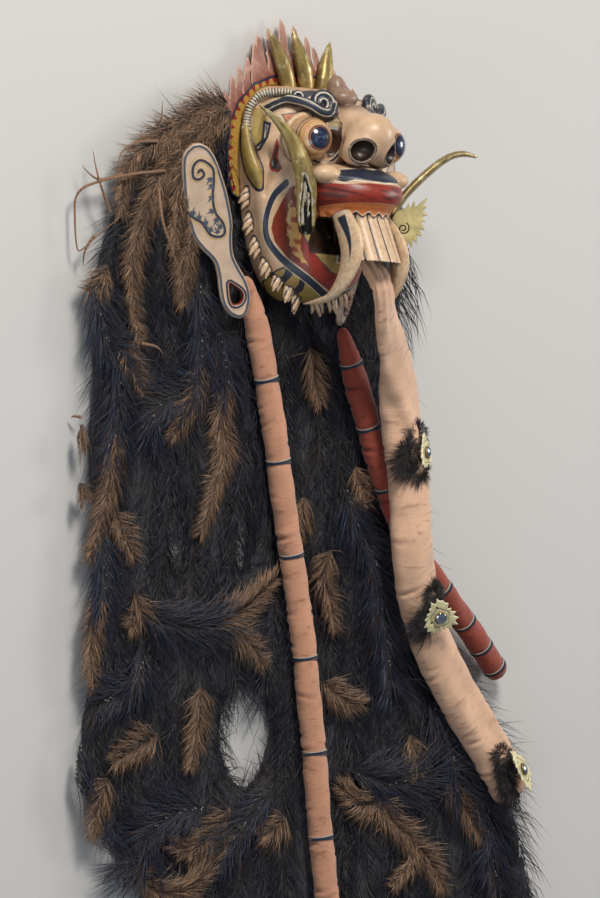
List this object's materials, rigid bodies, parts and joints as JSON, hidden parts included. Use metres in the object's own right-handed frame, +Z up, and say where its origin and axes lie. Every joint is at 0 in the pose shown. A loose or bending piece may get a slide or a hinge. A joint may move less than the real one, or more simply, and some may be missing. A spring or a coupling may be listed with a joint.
{
  "type": "demon mask with hair mantle",
  "caption": "Painted wooden demon mask on its back, with tusks, horns, leather crest, loose ears, a long stuffed tongue, cloth rolls and a broad mantle of hair and palm fibre.",
  "frame": {"origin": "underside of the mantle, on the floor below the middle of the mask's rim", "axes": "+Z up, the way the lying mask looks; +Y along the mantle towards the mask's crest; +X to the mask's own left"},
  "size_m": [0.8222, 1.2473, 0.2001],
  "materials": {
    "face_wood": "painted, glossy where it isn't worn",
    "eye_wood": "painted and varnished",
    "gilt_wood": "old gold paint, worn",
    "crest_leather": "painted, matt",
    "gilt_leather": "gilded, worn",
    "ear_wood": "painted, satin",
    "tongue_cloth": "matt, creased and stained",
    "tuft_fur": "loose dark fur",
    "mirror_stone": "small mirror glass in a metal rim",
    "roll_peach_cloth": "matt",
    "roll_red_cloth": "matt",
    "mantle_hair": "blue-black hair and brown palm fibre"
  },
  "bodies": {
    "root": {"mask_face": "face_wood", "eye_right": "eye_wood", "eye_left": "eye_wood", "tusk_right": "gilt_wood", "tusk_left": "gilt_wood", "horn_right": "gilt_wood", "horn_middle": "gilt_wood", "horn_left": "gilt_wood", "crest": "crest_leather", "cheek_flame": "gilt_leather", "ear_right": "ear_wood", "ear_left": "ear_wood", "tongue": "tongue_cloth", "tongue_tuft_1": "tuft_fur", "tongue_plate_1": "gilt_leather", "tongue_mirror_1": "mirror_stone", "tongue_tuft_2": "tuft_fur", "tongue_plate_2": "gilt_leather", "tongue_mirror_2": "mirror_stone", "tongue_tuft_3": "tuft_fur", "tongue_plate_3": "gilt_leather", "tongue_mirror_3": "mirror_stone", "roll_right": "roll_peach_cloth", "roll_left": "roll_red_cloth", "mantle_mat": "mantle_hair", "mantle_tress_01": "mantle_hair", "mantle_tress_02": "mantle_hair", "mantle_tress_03": "mantle_hair", "mantle_tress_04": "mantle_hair", "mantle_tress_05": "mantle_hair", "mantle_tress_06": "mantle_hair", "mantle_tress_07": "mantle_hair", "mantle_tress_08": "mantle_hair", "mantle_tress_09": "mantle_hair", "mantle_tress_10": "mantle_hair"}
  },
  "joints": []
}
